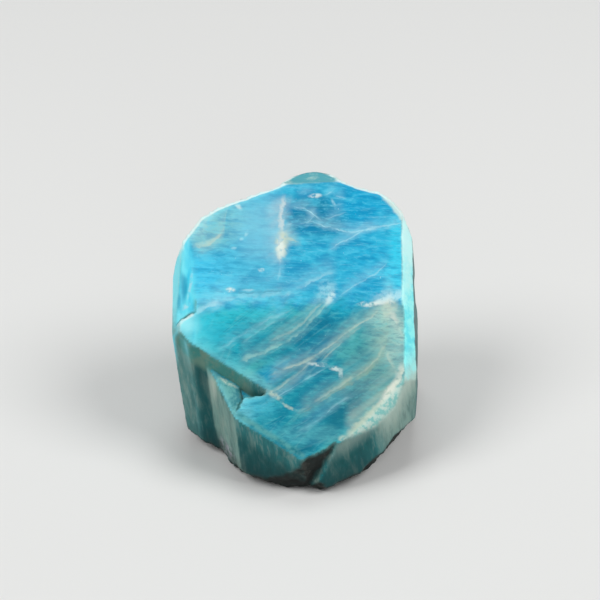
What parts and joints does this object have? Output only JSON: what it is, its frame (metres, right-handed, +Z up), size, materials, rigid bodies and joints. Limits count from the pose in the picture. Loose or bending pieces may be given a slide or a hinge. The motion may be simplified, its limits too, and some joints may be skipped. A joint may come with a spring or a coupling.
{
  "type": "amazonite crystal",
  "caption": "Stubby blue-green amazonite crystal: leaning prism with a broad sloping top face, pale veins, a stepped front ledge and a rough broken base it stands on.",
  "frame": {"origin": "on the resting face, under the middle of the crystal's outline", "axes": "+Z up from the resting face, +Y from the low front edge to the high back edge of the sloping top, +X along the broad top to the right"},
  "size_m": [0.0252, 0.0246, 0.0229],
  "materials": {
    "amazonite": "waxy to glassy cleavage faces in blue-green feldspar with fine pale streaks and cream veins, greener and duller on the side walls, rough and grey-brown where broken at the base"
  },
  "bodies": {
    "root": {"amazonite_crystal": "amazonite"}
  },
  "joints": []
}
